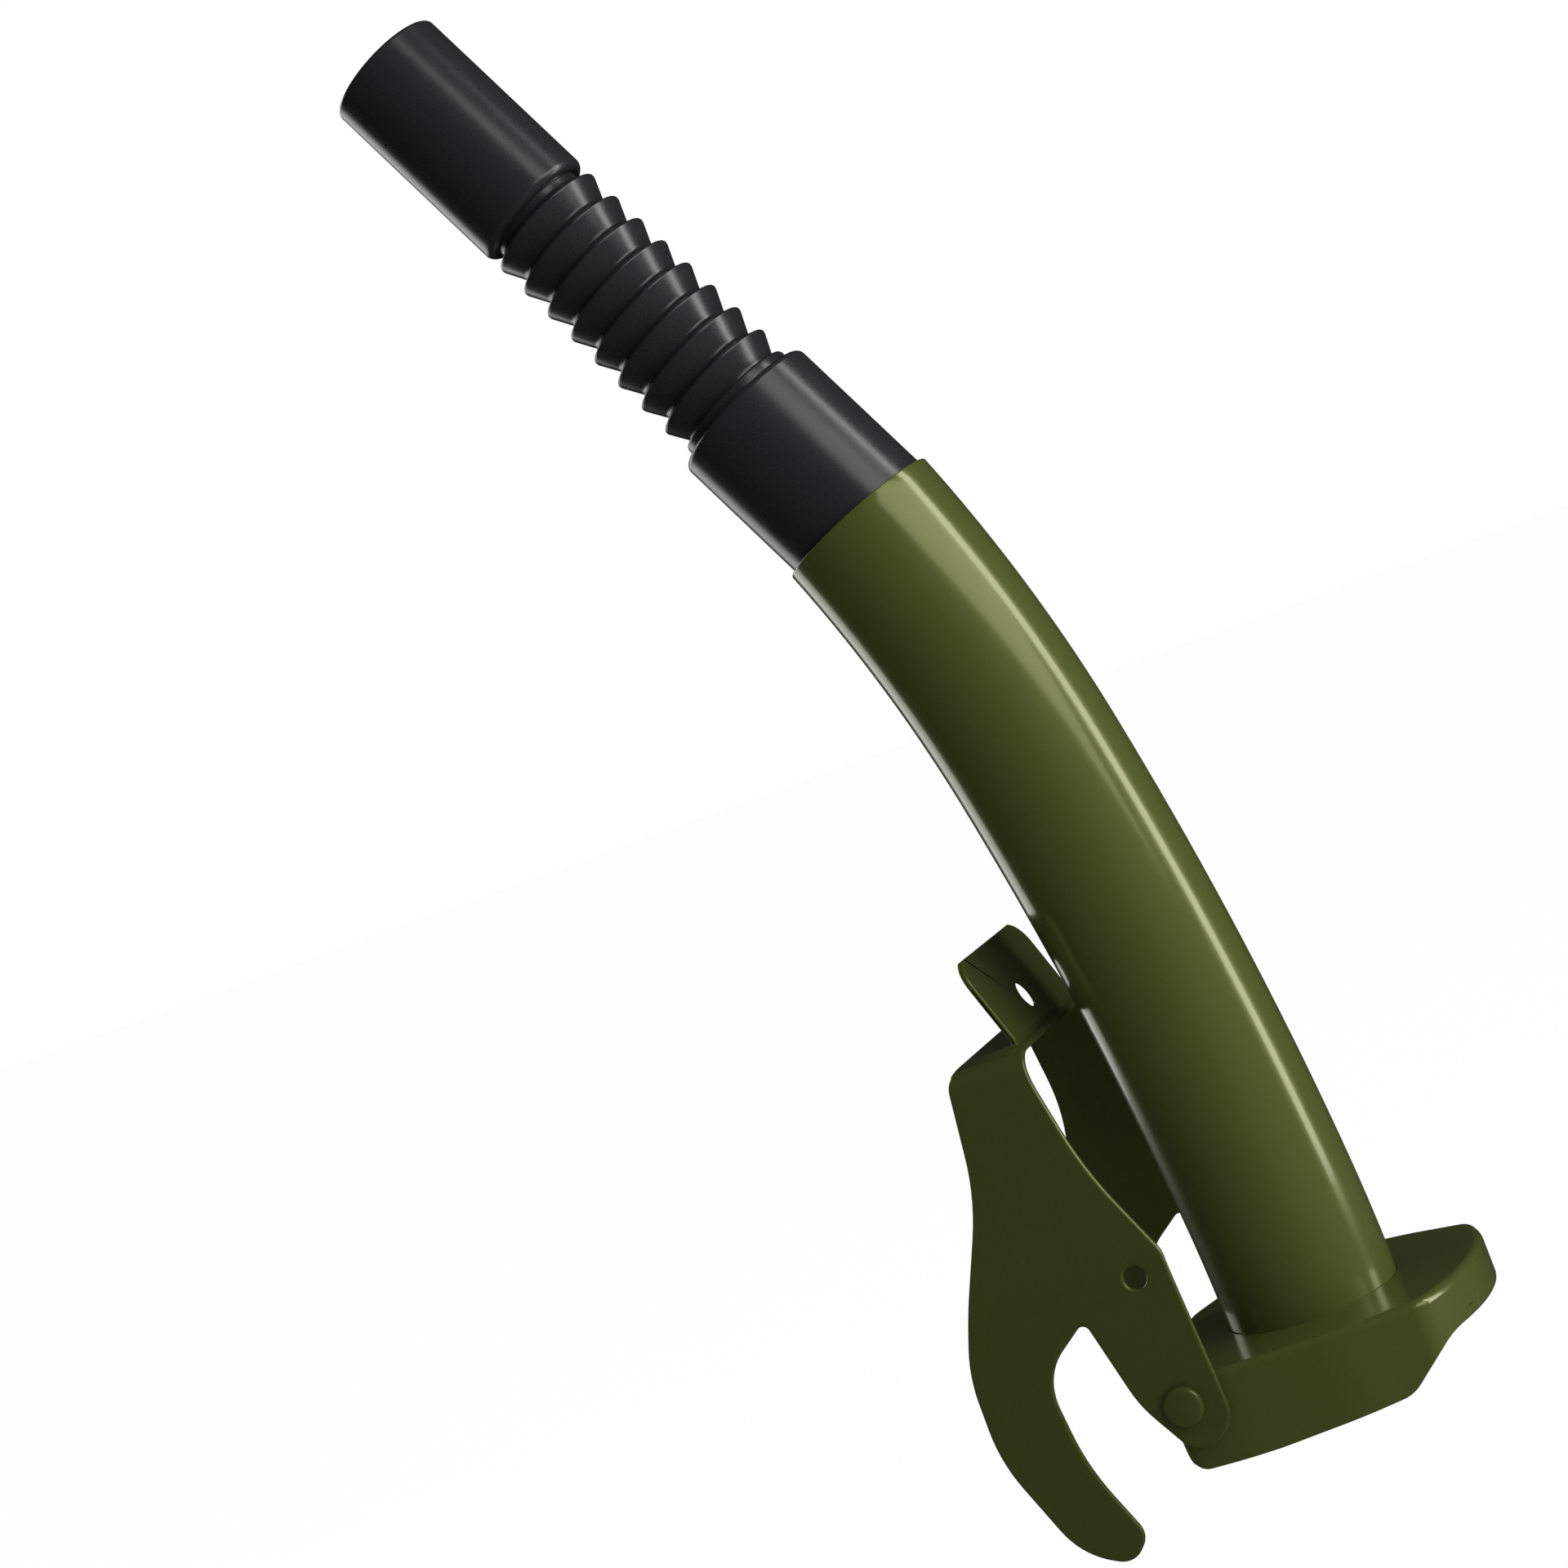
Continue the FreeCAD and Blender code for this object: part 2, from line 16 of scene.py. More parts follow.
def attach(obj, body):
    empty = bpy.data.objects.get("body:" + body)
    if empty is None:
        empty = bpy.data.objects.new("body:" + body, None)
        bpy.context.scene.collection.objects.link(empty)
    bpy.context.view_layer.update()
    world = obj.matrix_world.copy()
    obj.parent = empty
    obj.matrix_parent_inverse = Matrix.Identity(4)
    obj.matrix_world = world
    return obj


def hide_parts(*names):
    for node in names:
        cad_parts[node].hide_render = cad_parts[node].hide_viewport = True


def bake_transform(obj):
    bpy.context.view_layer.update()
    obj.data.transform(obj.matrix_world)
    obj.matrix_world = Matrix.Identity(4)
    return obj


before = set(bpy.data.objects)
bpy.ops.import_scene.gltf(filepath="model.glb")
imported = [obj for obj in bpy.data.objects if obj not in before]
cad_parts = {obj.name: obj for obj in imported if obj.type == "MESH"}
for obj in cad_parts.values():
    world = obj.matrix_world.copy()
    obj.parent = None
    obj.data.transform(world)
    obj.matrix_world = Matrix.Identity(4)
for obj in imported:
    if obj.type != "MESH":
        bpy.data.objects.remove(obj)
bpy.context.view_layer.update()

# %% [markdown]
# ## The sizes that the new meshes share with the solids
# A mesh that lies over a solid has to use the same sizes, here in metres. The tube rises straight
# out of the cap and then bends in four arcs, gentle at first and tighter at the top. The hose
# leaves the tube's mouth with a small kink of its own.

# %% Shared sizes
MM = 0.001
CAP_TOP = 7.0 * MM
TUBE_LOW = -4.0 * MM
TUBE_R = 16.0 * MM
TUBE_WALL = 1.0 * MM
TUBE_BENDS = [(20.0 * MM, 3.4), (34.5 * MM, 2.9), (54.5 * MM, 4.4), (54.5 * MM, 11.1)]
HOSE_KINK = 4.9
PIVOT = Vector((-17.6 * MM, 0.0, 3.1 * MM))


def tube_arcs():
    """Each arc of the tube's centre line as (centre, lean at its start, angle)."""
    corner = Vector((0, 0, CAP_TOP))
    lean = 0.0
    arcs = []
    for length, degrees in TUBE_BENDS:
        angle = math.radians(degrees)
        radius = length / angle
        centre = corner - Vector((math.cos(lean), 0, math.sin(lean))) * radius
        arcs.append((centre, lean, angle))
        lean += angle
        corner = centre + Vector((math.cos(lean), 0, math.sin(lean))) * radius
    return arcs, corner, lean


ARCS, MOUTH, MOUTH_LEAN = tube_arcs()
HOSE_LEAN = MOUTH_LEAN + math.radians(HOSE_KINK)
HOSE_AXIS = Vector((-math.sin(HOSE_LEAN), 0, math.cos(HOSE_LEAN)))
print("mouth", tuple(round(v, 5) for v in MOUTH), "hose lean", round(math.degrees(HOSE_LEAN), 2))

# %% [markdown]
# ## Small helpers for modelling by operator
# Operators act on whatever is selected, so every piece starts from an empty selection. The
# helpers below do what a hand does in the window: clear the selection, enter edit mode, pick
# edges by their place. Doing it with one helper each keeps the steps of a piece short.


# %% Selection helpers
def clear_selection():
    if bpy.context.mode != "OBJECT":
        bpy.ops.object.mode_set(mode="OBJECT")
    bpy.ops.object.select_all(action="DESELECT")


def make_active(piece):
    clear_selection()
    piece.select_set(True)
    bpy.context.view_layer.objects.active = piece


def enter_edit(piece, mode="VERT"):
    make_active(piece)
    bpy.ops.object.mode_set(mode="EDIT")
    bpy.ops.mesh.select_mode(type=mode)
    bpy.ops.mesh.select_all(action="DESELECT")


def leave_edit():
    bpy.ops.object.mode_set(mode="OBJECT")


def apply_modifiers(piece):
    make_active(piece)
    for modifier in list(piece.modifiers):
        bpy.ops.object.modifier_apply(modifier=modifier.name)


def face_outwards(piece):
    enter_edit(piece, "FACE")
    bpy.ops.mesh.select_all(action="SELECT")
    bpy.ops.mesh.normals_make_consistent(inside=False)
    leave_edit()


def smooth(piece, degrees):
    make_active(piece)
    bpy.ops.object.shade_smooth_by_angle(angle=math.radians(degrees))


def add_bevel(piece, width, segments, degrees):
    bevel = piece.modifiers.new("rounded edges", "BEVEL")
    bevel.width = width
    bevel.segments = segments
    bevel.limit_method = "ANGLE"
    bevel.angle_limit = math.radians(degrees)
    bevel.use_clamp_overlap = False
    bevel.loop_slide = False


def weigh_normals(piece):
    """Large flat faces keep their own shading, and the small ones beside them turn towards it."""
    weighted = piece.modifiers.new("weighted normals", "WEIGHTED_NORMAL")
    weighted.weight = 100
    weighted.keep_sharp = True
    apply_modifiers(piece)


def describe(piece):
    size = [round(v * 1000, 1) for v in piece.dimensions]
    print(piece.name, "faces", len(piece.data.polygons), "size in mm", size)


# %% [markdown]
# ## Finished copies of stamped and moulded solids
# Pressed sheet has a small round on every edge, left by the punch and filled by the paint, and
# that round draws the thin bright line around the lever. The solid's mesh is loose triangles, so
# the copy's vertices are merged, flat areas become single faces, and a bevel rounds what is sharp.
# A bevel in the solid itself would be slow to build and hard to change, so it is made here. The
# outer corners of the cap's inward lip are first set back to its wall, because they stand proud.

# %% Where the lip's proud corners are, in mm
CATCH_X = 30.6
CATCH_SIDE = (11.5, 12.5)
CATCH_TOP = 1.0
CATCH_TRIM = 0.624


# %% Copy a solid and round its edges
def trim_catch(piece):
    """The inward lip's outer corners stand a little proud of the bowed wall, so they go back to it."""
    enter_edit(piece)
    leave_edit()
    for vertex in piece.data.vertices:
        x, y, z = vertex.co / MM
        vertex.select = x > CATCH_X and CATCH_SIDE[0] < abs(y) < CATCH_SIDE[1] and z < CATCH_TOP
    bpy.ops.object.mode_set(mode="EDIT")
    bpy.ops.transform.translate(value=(-CATCH_TRIM * MM, 0, 0))
    bpy.ops.mesh.select_all(action="SELECT")
    bpy.ops.mesh.remove_doubles(threshold=0.05 * MM)
    leave_edit()


def finished_copy(node, name, width, segments=3, degrees=65.0, smooth_degrees=40.0, mend=None):
    clear_selection()
    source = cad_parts[node]
    piece = source.copy()
    piece.data = source.data.copy()
    piece.parent = None
    piece.matrix_world = Matrix.Identity(4)
    piece.name = name
    piece.data.name = name
    bpy.context.scene.collection.objects.link(piece)
    enter_edit(piece)
    bpy.ops.mesh.select_all(action="SELECT")
    bpy.ops.mesh.remove_doubles(threshold=0.02 * MM)
    bpy.ops.mesh.customdata_custom_splitnormals_clear()
    bpy.ops.mesh.dissolve_limited(angle_limit=math.radians(0.2))
    leave_edit()
    if mend:
        mend(piece)
    if width:
        add_bevel(piece, width, segments, degrees)
        apply_modifiers(piece)
    smooth(piece, smooth_degrees)
    weigh_normals(piece)
    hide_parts(node)
    describe(piece)
    return piece


cap = finished_copy("base_shell", "stamped_cap", 0.35 * MM, mend=trim_catch)
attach(cap, "spout")
lever = finished_copy("clamp_lever", "hook_lever", 0.5 * MM, segments=4)
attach(lever, "lever")
sleeve = finished_copy("coupling_sleeve", "hose_sleeve", 0.0)
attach(sleeve, "spout")
cuff = finished_copy("outlet_cuff", "outlet_tip", 0.25 * MM)
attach(cuff, "outlet")

# %% [markdown]
# ## The bent tube
# The real tube is drawn steel, bent on a machine and painted. Its highlight runs along the whole
# length, and any uneven facet would break it, so it is modelled anew: a ring of vertices is
# extruded up through the cap and then spun about the centre of each bend in turn. Solidify gives
# the wall its thickness and a bevel rounds the mouth.

# %% Spin the tube
RING = 160
clear_selection()
bpy.ops.mesh.primitive_circle_add(vertices=RING, radius=TUBE_R, location=(0, 0, TUBE_LOW))
tube = bpy.context.object
tube.name = "bent_tube"
bpy.ops.object.transform_apply(location=True, rotation=True, scale=True)
enter_edit(tube, "EDGE")
bpy.ops.mesh.select_all(action="SELECT")
bpy.ops.mesh.extrude_edges_move(TRANSFORM_OT_translate={"value": (0, 0, CAP_TOP - TUBE_LOW)})
for centre, lean, angle in ARCS:
    steps = max(6, round(math.degrees(angle) * 2.4))
    bpy.ops.mesh.spin(steps=steps, angle=angle, center=centre, axis=(0, 1, 0))
leave_edit()
face_outwards(tube)
wall = tube.modifiers.new("wall", "SOLIDIFY")
wall.thickness = TUBE_WALL
wall.offset = -1.0
add_bevel(tube, 0.22 * MM, 3, 60.0)
apply_modifiers(tube)
smooth(tube, 40.0)
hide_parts("spout_tube")
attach(tube, "spout")
describe(tube)
tube_corners = (tube.bound_box[0], tube.bound_box[6])
print("tube box", [tuple(round(c * 1000, 2) for c in corner) for corner in tube_corners])

# %% [markdown]
# ## The ribbed hose
# The real hose is blown from soft plastic, with saw-tooth ribs whose crests and grooves are
# slightly round. It could be cut from a spiral, but its ribs are separate rings. A ring is
# extruded and resized along a list of heights and radii, which is how a lathe would turn it, and
# each rib has the same steps. The bore has rings all along it too, because a wall with rings only
# at its ends stays straight when the hose bends, and comes out through the ribs. The mesh is then
# turned onto the hose's axis.

# %% The hose's profile
SLEEVE_END = 29.15
COLLAR_R = 12.25
COLLAR_LENGTH = 2.4
RIBS = 8
PITCH = 6.1
BORE_R = 8.6
BORE_RINGS = 40
TAIL_R = 10.35
TAIL_TOP = 15.7
SOCKET_R = 11.9
SOCKET_DEPTH = 12.0
BEND_START = 34.0
BEND_END = 78.0


def hose_profile():
    """Heights and radii in mm, up the outside and back down the bore."""
    steps = [(SLEEVE_END - SOCKET_DEPTH, SOCKET_R), (SLEEVE_END - 0.05, SOCKET_R), (SLEEVE_END, 11.95),
             (SLEEVE_END + 0.05, COLLAR_R - 0.1), (SLEEVE_END + 0.2, COLLAR_R),
             (SLEEVE_END + COLLAR_LENGTH - 0.7, COLLAR_R),
             (SLEEVE_END + COLLAR_LENGTH - 0.35, COLLAR_R - 0.15)]
    for rib in range(RIBS):
        share = rib / (RIBS - 1)
        crest = 12.75 - 0.75 * share
        root = 10.6 - 0.5 * share
        low = SLEEVE_END + COLLAR_LENGTH + rib * PITCH
        fall = low + PITCH - 1.2
        rise = (crest - root) / (PITCH - 1.95)
        steps += [(low - 0.05, root), (low + 0.4, root), (low + 0.62, root + 0.22 * rise + 0.04),
                  (fall - 0.6, crest - 0.05), (fall - 0.36, crest), (fall - 0.2, crest),
                  (fall - 0.06, crest - 0.07), (low + PITCH - 0.42, root + 0.2),
                  (low + PITCH - 0.28, root + 0.03)]
    end = SLEEVE_END + COLLAR_LENGTH + RIBS * PITCH - 0.1
    top = end + TAIL_TOP
    steps += [(end, 9.85), (end + 0.2, 9.8), (end + 1.5, 9.8), (end + 1.65, 9.9), (end + 1.7, TAIL_R),
              (top, TAIL_R)]
    ring_step = (top - (SLEEVE_END - SOCKET_DEPTH)) / BORE_RINGS
    steps += [(top - ring_step * ring, BORE_R) for ring in range(BORE_RINGS + 1)]
    return steps


HOSE = hose_profile()
print("hose profile steps", len(HOSE))


# %% Turn a profile on the lathe
def turned(name, profile, sides, lean=0.0, base=(0, 0, 0), hollow=True):
    """A ring extruded and resized along heights and radii in mm; its two ends are joined or filled."""
    clear_selection()
    height, radius = profile[0]
    bpy.ops.mesh.primitive_circle_add(vertices=sides, radius=radius * MM, location=(0, 0, height * MM))
    piece = bpy.context.object
    piece.name = name
    bpy.ops.object.transform_apply(location=True, rotation=True, scale=True)
    enter_edit(piece, "EDGE")
    bpy.ops.mesh.select_all(action="SELECT")
    for next_height, next_radius in profile[1:]:
        step = (0, 0, (next_height - height) * MM)
        bpy.ops.mesh.extrude_edges_move(TRANSFORM_OT_translate={"value": step})
        ratio = next_radius / radius
        bpy.ops.transform.resize(value=(ratio, ratio, 1), center_override=(0, 0, next_height * MM))
        height, radius = next_height, next_radius
    bpy.ops.mesh.select_all(action="DESELECT")
    bpy.ops.mesh.select_non_manifold(extend=False)
    if hollow:
        bpy.ops.mesh.bridge_edge_loops()
    else:
        bpy.ops.mesh.fill_holes(sides=0)
    leave_edit()
    face_outwards(piece)
    make_active(piece)
    piece.rotation_euler = (0, -lean, 0)
    piece.location = base
    bpy.ops.object.transform_apply(location=True, rotation=True, scale=True)
    return piece


hose = turned("ribbed_hose", HOSE, 144, HOSE_LEAN, MOUTH)
smooth(hose, 60.0)
weigh_normals(hose)
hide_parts("corrugated_hose")
bend_from = MOUTH + HOSE_AXIS * BEND_START * MM
bend_to = MOUTH + HOSE_AXIS * BEND_END * MM
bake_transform(hose)
describe(hose)

# %% [markdown]
# ## The pivot rivets
# Each rivet's head is low with a round shoulder, painted over together with the lever. A sphere
# could be cut to a cap, but a short turned profile gives clean rings for the highlight.

# %% Turn the rivets
HEAD_FOOT = 34.3
SHANK_R = 2.4
SHOULDER_R = 0.78


def rivet_profile():
    """From the tail inside the cap, along the shank, to the head; heights are distances from the middle."""
    shoulder = HEAD_FOOT + 0.45
    head = [(HEAD_FOOT, SHANK_R), (HEAD_FOOT, 3.55), (HEAD_FOOT + 0.12, 3.75), (shoulder, 3.74)]
    for k in range(1, 7):
        angle = math.radians(15.0 * k)
        head.append((shoulder + SHOULDER_R * math.sin(angle), 2.96 + SHOULDER_R * math.cos(angle)))
    head += [(HEAD_FOOT + 1.33, 2.2), (HEAD_FOOT + 1.42, 1.3), (HEAD_FOOT + 1.47, 0.4)]
    tail = [(29.2, 3.2), (29.3, 3.4), (30.2, 3.4), (30.2, SHANK_R)]
    return tail + head


def make_rivet(name, side):
    rivet = turned(name, rivet_profile(), 48, hollow=False)
    rivet.rotation_euler = (-side * math.radians(90), 0, 0)
    rivet.location = PIVOT
    make_active(rivet)
    bpy.ops.object.transform_apply(location=True, rotation=True, scale=True)
    smooth(rivet, 50.0)
    return rivet


rivet_near = make_rivet("rivet_near", -1)
rivet_far = make_rivet("rivet_far", 1)
for rivet in (rivet_near, rivet_far):
    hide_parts("pivot_rivets")
    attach(rivet, "spout")
    describe(rivet)

# %% [markdown]
# ## Writing materials as sums
# A finish is a small calculation: a noise, times a weight, plus a base. Linking such nodes by hand
# is slow to read, so one class wraps a socket and turns + - * / into Math nodes. Colours go
# through Mix nodes, because a Math node would turn them grey.


# %% A socket that can be added and multiplied
class Value:
    def __init__(self, paint, socket):
        self.paint = paint
        self.socket = socket

    def _math(self, operation, first, second):
        return self.paint.node("ShaderNodeMath", {"operation": operation}, {0: first, 1: second})

    def __add__(self, other):
        return self._math("ADD", self, other)

    __radd__ = __add__

    def __mul__(self, other):
        return self._math("MULTIPLY", self, other)

    __rmul__ = __mul__

    def __sub__(self, other):
        return self._math("SUBTRACT", self, other)

    def __rsub__(self, other):
        return self._math("SUBTRACT", other, self)

    def clamp(self, low, high):
        return self.paint.node("ShaderNodeClamp", {}, {0: self, 1: low, 2: high})


class Finish:
    """A material whose nodes are added by one method."""

    def __init__(self, name):
        self.material = bpy.data.materials.new(name)
        self.material.use_nodes = True
        self.tree = self.material.node_tree
        self.shader = self.tree.nodes["Principled BSDF"]

    def node(self, kind, settings, inputs, output=0):
        made = self.tree.nodes.new(kind)
        for key, value in settings.items():
            setattr(made, key, value)
        for key, value in inputs.items():
            if isinstance(value, Value):
                self.tree.links.new(value.socket, made.inputs[key])
            else:
                made.inputs[key].default_value = value
        return Value(self, made.outputs[output])

    def place(self):
        return self.node("ShaderNodeTexCoord", {}, {}, "Object")

    def noise(self, scale, detail, roughness=0.55):
        inputs = {"Vector": self.place(), "Scale": scale, "Detail": detail, "Roughness": roughness}
        return self.node("ShaderNodeTexNoise", {}, inputs, "Fac")

    def mix(self, amount, first, second):
        settings = {"data_type": "RGBA", "blend_type": "MIX"}
        return self.node("ShaderNodeMix", settings, {0: amount, 6: first, 7: second}, 2)

    def bump(self, height, strength, distance):
        inputs = {"Height": height, "Strength": strength, "Distance": distance}
        return self.node("ShaderNodeBump", {}, inputs)

    def feed(self, **sockets):
        for key, value in sockets.items():
            socket = self.shader.inputs[key.replace("_", " ").title().replace("Ior", "IOR")]
            if isinstance(value, Value):
                self.tree.links.new(value.socket, socket)
            else:
                socket.default_value = value

    def give(self, *pieces):
        for piece in pieces:
            piece.data.materials.clear()
            piece.data.materials.append(self.material)


def from_srgb(r, g, b):
    """A colour on the usual scale from 0 to 255, as the linear numbers that a shader reads."""
    linear = []
    for level in (r, g, b):
        level /= 255
        linear.append(level / 12.92 if level <= 0.04045 else ((level + 0.055) / 1.055) ** 2.4)
    return (*linear, 1.0)


TUBE_OLIVE = (72, 81, 32)
CAP_OLIVE = (68, 75, 28)
LEVER_OLIVE = (63, 69, 25)
print("tube olive as linear numbers", [round(v, 4) for v in from_srgb(*TUBE_OLIVE)])

# %% [markdown]
# ## Olive gloss paint
# The steel is sprayed with a thick olive enamel. It levels out to a gloss with a faint orange peel,
# its colour is a little uneven, and fine dust lies in it. A tinted gloss keeps the lights olive, and
# a thin clear coat over it gives them a sharp core. A coat alone would make every light white. Two
# noises of different size keep the paint from looking like glass.


# %% Olive paint
def olive_paint(name, colour, peel=0.05):
    paint = Finish(name)
    cloud = paint.noise(38.0, 2.0)
    speck = paint.noise(2600.0, 2.0)
    shade = (cloud - 0.5) * 0.5 + 0.5
    base = paint.mix(shade, from_srgb(*[v * 0.92 for v in colour]), from_srgb(*[v * 1.07 for v in colour]))
    grain = ((speck - 0.5) * 0.5 + 0.5).clamp(0.0, 1.0)
    base = paint.mix(0.1, base, paint.mix(grain, (0.0, 0.0, 0.0, 1.0), (0.3, 0.32, 0.18, 1.0)))
    rough = 0.2 + (cloud - 0.5) * 0.06 + (speck - 0.5) * 0.04
    orange_peel = paint.bump(paint.noise(420.0, 2.0), peel, 0.00018)
    paint.feed(base_color=base, roughness=rough, normal=orange_peel, ior=1.6,
               specular_tint=(0.95, 1.0, 0.42, 1.0), coat_weight=0.2, coat_roughness=0.05, coat_ior=1.5)
    return paint


olive_paint("olive_tube_paint", TUBE_OLIVE).give(tube)
olive_paint("olive_cap_paint", CAP_OLIVE, 0.07).give(cap)
olive_paint("olive_lever_paint", LEVER_OLIVE, 0.07).give(lever, rivet_near, rivet_far)
print("painted", [p.name for p in (tube, cap, lever, rivet_near, rivet_far)])

# %% [markdown]
# ## Black satin plastic
# The hose and its two ends are moulded from black polythene with a fine grain, so a light on
# them becomes a soft grey band. A satin shader with a small sharp bump is nearer to it than a
# darker gloss, and the hose has a little less grain than its ends.


# %% Black plastic
def black_plastic(name, colour, roughness, grain):
    plastic = Finish(name)
    cloud = plastic.noise(60.0, 2.0)
    fine = plastic.noise(3200.0, 3.0, 0.65)
    base = plastic.mix(fine, from_srgb(*[v * 0.82 for v in colour]), from_srgb(*[v * 1.18 for v in colour]))
    rough = roughness + (fine - 0.5) * 0.18 + (cloud - 0.5) * 0.06
    plastic.feed(base_color=base, roughness=rough, normal=plastic.bump(fine, grain, 0.0001), ior=1.5)
    return plastic


black_plastic("sleeve_plastic", (40, 40, 42), 0.25, 0.1).give(sleeve)
black_plastic("hose_plastic", (38, 38, 40), 0.25, 0.08).give(hose)
black_plastic("cuff_plastic", (39, 39, 41), 0.25, 0.1).give(cuff)
print("plastic on", [p.name for p in (sleeve, hose, cuff)])

# %% [markdown]
# ## The pieces under the cap
# Zinc plated plate, retainer and washers, a rubber seal and a plated vent pipe sit where the
# photograph doesn't look. They are the solids themselves, finished as such parts usually are,
# because the spout is also seen from below.


# %% Zinc and rubber
def zinc(name, colour, roughness):
    metal = Finish(name)
    cloud = metal.noise(160.0, 3.0, 0.6)
    scratch = metal.noise(1500.0, 2.0)
    base = metal.mix(cloud, from_srgb(*[v * 0.88 for v in colour]), from_srgb(*colour))
    rough = roughness + (cloud - 0.5) * 0.16 + (scratch - 0.5) * 0.1
    metal.feed(base_color=base, metallic=1.0, roughness=rough, normal=metal.bump(scratch, 0.08, 0.00005))
    return metal


def rubber(name, colour):
    soft = Finish(name)
    fine = soft.noise(1800.0, 3.0, 0.6)
    base = soft.mix(fine, from_srgb(*[v * 0.8 for v in colour]), from_srgb(*[v * 1.2 for v in colour]))
    soft.feed(base_color=base, roughness=0.62 + (fine - 0.5) * 0.2, normal=soft.bump(fine, 0.2, 0.0001))
    return soft


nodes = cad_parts
zinc("zinc_plate", (196, 196, 190), 0.34).give(nodes["backing_plate"], nodes["gasket_retainer"])
zinc("zinc_washer", (186, 186, 180), 0.3).give(nodes["pivot_washers"])
zinc("vent_steel", (190, 190, 188), 0.28).give(nodes["vent_tube"])
rubber("seal_rubber", (38, 37, 36)).give(nodes["neck_gasket"])
for name in ("backing_plate", "gasket_retainer", "pivot_washers", "vent_tube", "neck_gasket"):
    smooth(nodes[name], 35.0)
print("finished the pieces under the cap")

# %% [markdown]
# ## The camera
# The photograph shows the spout leaning to the left. The spout stands upright in its own frame, so
# the camera is rolled instead. Its place and lens were worked out from edges whose place on the
# object is known, such as the ends of the tube and the round of the outlet.

# %% Camera
camera_data = bpy.data.cameras.new("camera")
camera = bpy.data.objects.new("camera", camera_data)
bpy.context.scene.collection.objects.link(camera)
camera_data.sensor_width = 36.0
camera_data.lens = 95.2
camera_data.clip_start = 0.05
camera_data.clip_end = 20.0
RIGHT = Vector((0.8657, 0.3414, -0.3661))
UP = Vector((0.3126, 0.2025, 0.9280))
BACK = Vector((0.3910, -0.9178, 0.0686))
EYE = Vector((0.2390, -0.7007, 0.1792))
turn = Matrix((RIGHT, UP, BACK)).transposed()
camera.rotation_mode = "QUATERNION"
camera.rotation_quaternion = turn.to_quaternion()
camera.location = EYE
bpy.context.scene.camera = camera
print("camera at", tuple(camera.location), "lens", camera_data.lens)

# %% [markdown]
# ## Floor and background
# The spout is shown before plain white. The floor lies under the lowest hook and is pale for the
# light that it throws back. To the camera it shows as almost white, so only a faint line is left
# where it ends. Glossy rays find the floor and the room dark, because a white room would wash out
# the paint, and that also keeps the white out of every reflection.

# %% Floor and world
FLOOR_Z = -0.10
GLOW_SHARE = 0.98
clear_selection()
bpy.ops.mesh.primitive_plane_add(size=6.0, location=(0, 0, FLOOR_Z))
floor = bpy.context.object
floor.name = "floor"
bpy.ops.object.transform_apply(location=True, rotation=True, scale=True)
floor_finish = Finish("pale_floor")
mirrored = floor_finish.node("ShaderNodeLightPath", {}, {}, "Is Glossy Ray")
tone = floor_finish.mix(mirrored, (0.8, 0.8, 0.8, 1.0), (0.04, 0.045, 0.03, 1.0))
floor_finish.feed(base_color=tone, roughness=0.9)
ray = floor_finish.node("ShaderNodeLightPath", {}, {}, "Is Camera Ray")
white = floor_finish.node("ShaderNodeEmission", {}, {"Color": (1, 1, 1, 1), "Strength": 1.0})
matt = Value(floor_finish, floor_finish.shader.outputs[0])
both = floor_finish.node("ShaderNodeMixShader", {}, {0: ray * GLOW_SHARE, 1: matt, 2: white})
surface = floor_finish.tree.nodes["Material Output"].inputs["Surface"]
floor_finish.tree.links.new(both.socket, surface)
floor_finish.give(floor)

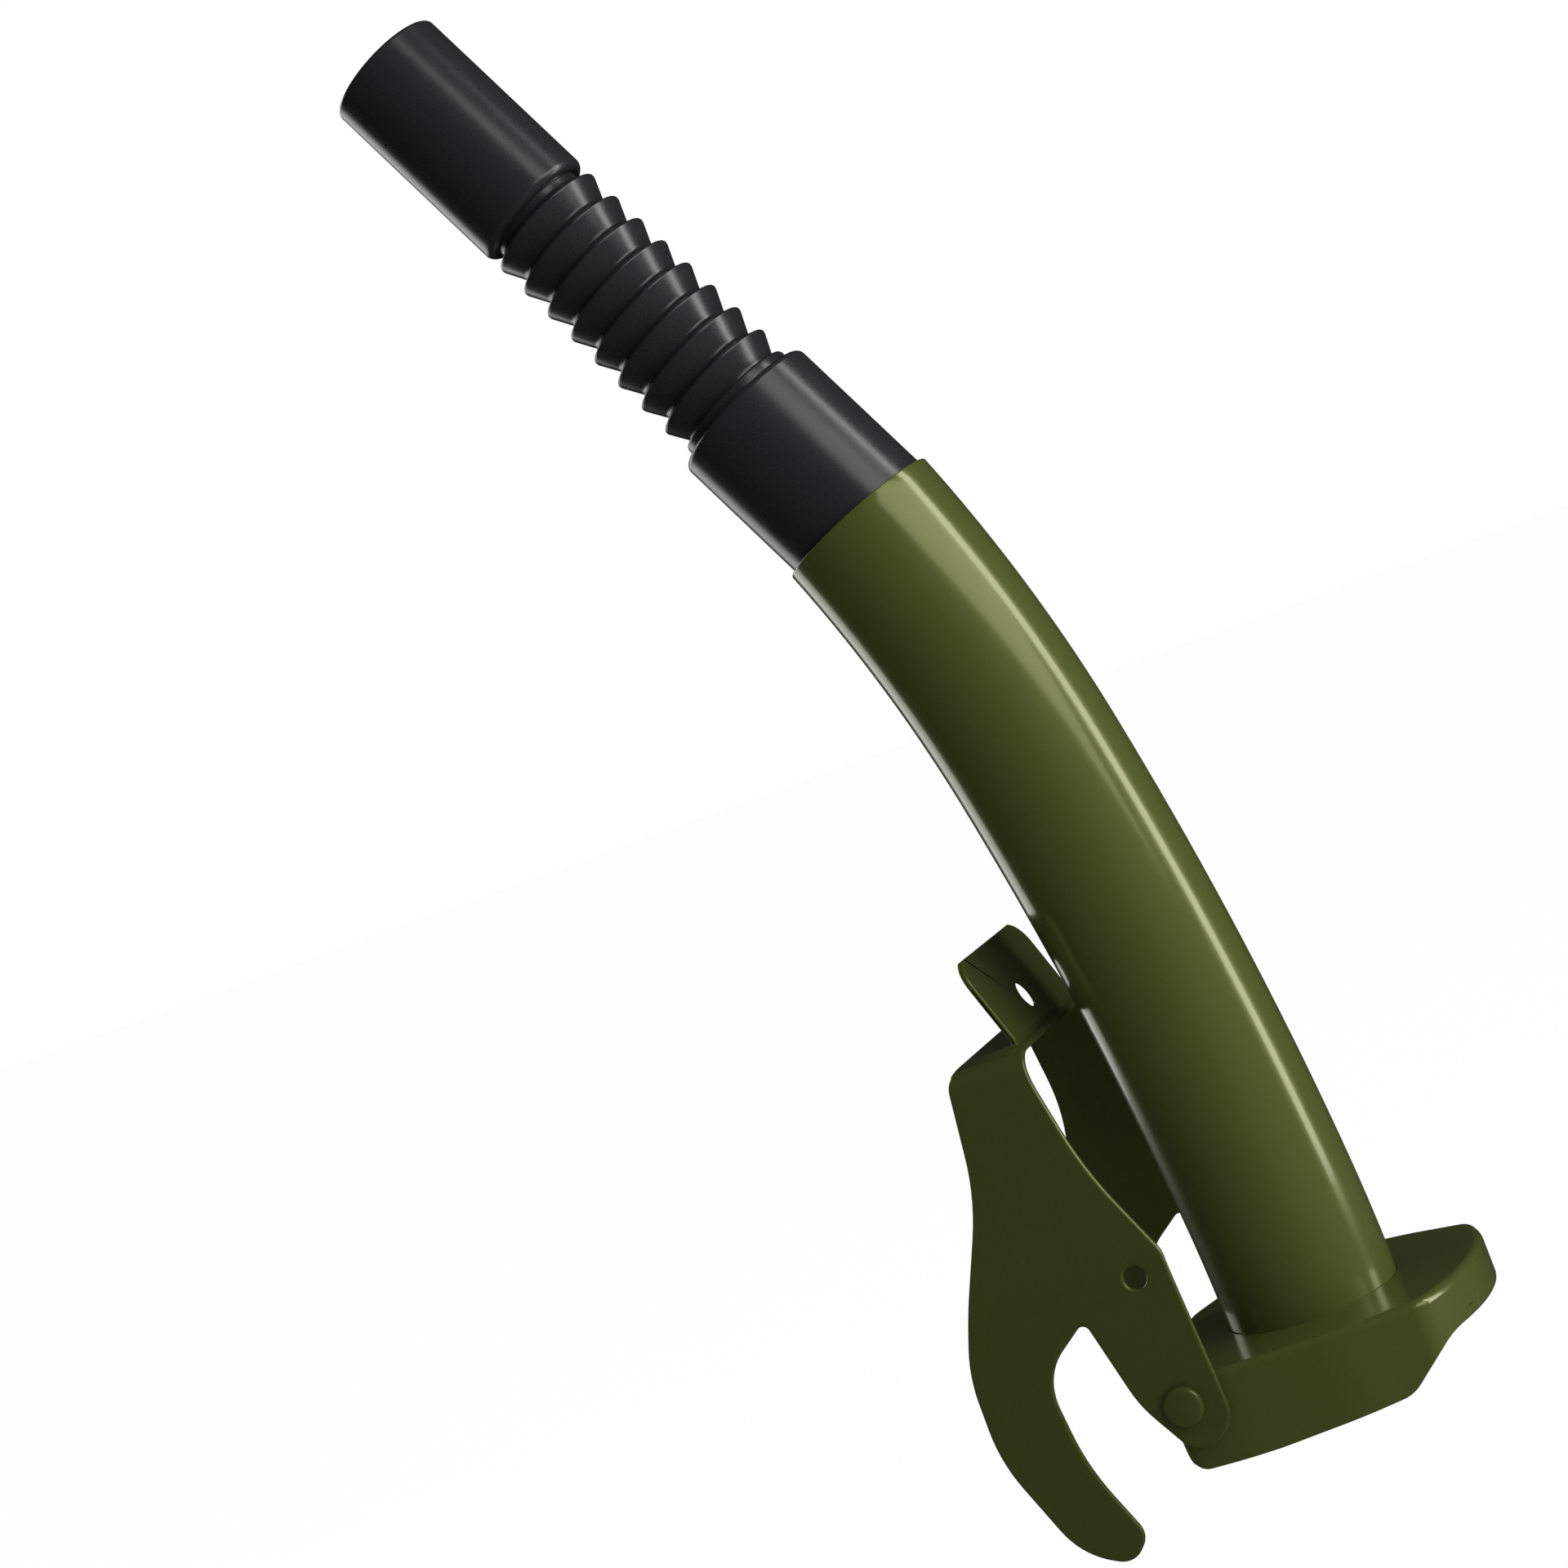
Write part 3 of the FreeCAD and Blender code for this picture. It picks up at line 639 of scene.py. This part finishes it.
world = bpy.data.worlds.new("studio")
bpy.context.scene.world = world
world.use_nodes = True
world_nodes = world.node_tree.nodes
world_links = world.node_tree.links
backdrop = world_nodes["Background"]
backdrop.inputs["Color"].default_value = (1, 1, 1, 1)
backdrop.inputs["Strength"].default_value = 1.0
room = world_nodes.new("ShaderNodeBackground")
room.inputs["Color"].default_value = (0.5, 0.52, 0.46, 1)
room.inputs["Strength"].default_value = 0.035
path = world_nodes.new("ShaderNodeLightPath")
choice = world_nodes.new("ShaderNodeMixShader")
world_links.new(path.outputs["Is Camera Ray"], choice.inputs[0])
world_links.new(room.outputs[0], choice.inputs[1])
world_links.new(backdrop.outputs[0], choice.inputs[2])
world_links.new(choice.outputs[0], world_nodes["World Output"].inputs["Surface"])
bpy.context.scene.view_settings.view_transform = "Standard"
print("floor at", floor.bound_box[0][2])

# %% [markdown]
# ## Lamps
# A tall soft box stands far to the right, and draws the long bright line on the tube. A wide one
# beside it gives the broad band. A panel behind on the left lights the far edge. Two large ones, in
# front and on top, light the colour and are hidden from reflections, so that they draw no lines of
# their own. They could all be one dome, but then the paint would show no lines at all.

# %% Soft boxes
AIM = Vector((-0.02, 0, 0.10))


def soft_box(name, direction, distance, width, height, watts, tall=(0, 0, 1)):
    lamp = bpy.data.lights.new(name, "AREA")
    lamp.shape = "RECTANGLE"
    lamp.size = width
    lamp.size_y = height
    lamp.energy = watts
    box = bpy.data.objects.new(name, lamp)
    bpy.context.scene.collection.objects.link(box)
    back = Vector(direction).normalized()
    side = Vector(tall).cross(back).normalized()
    up = back.cross(side)
    facing = Matrix((side, up, back)).transposed().to_4x4()
    box.matrix_world = Matrix.Translation(AIM + back * distance) @ facing
    return box


key = soft_box("key", (0.936, 0.341, 0.087), 1.0, 0.2, 1.6, 7.0)
broad = soft_box("broad", (0.859, -0.183, 0.479), 1.2, 1.0, 0.64, 5.0, tall=(-0.281, 0.612, 0.738))
rim = soft_box("rim", (-0.88, 0.47, -0.06), 0.7, 0.32, 1.0, 1.8)
fill = soft_box("fill", (0.85, -0.5, 0.3), 1.4, 1.5, 1.0, 11.0)
top = soft_box("top", (-0.3, -0.25, 1.0), 1.4, 1.0, 1.0, 3.0, tall=(0, 1, 0))
for box in (fill, top):
    box.visible_glossy = False
print("lamps", [box.name for box in (key, broad, rim, fill, top)])
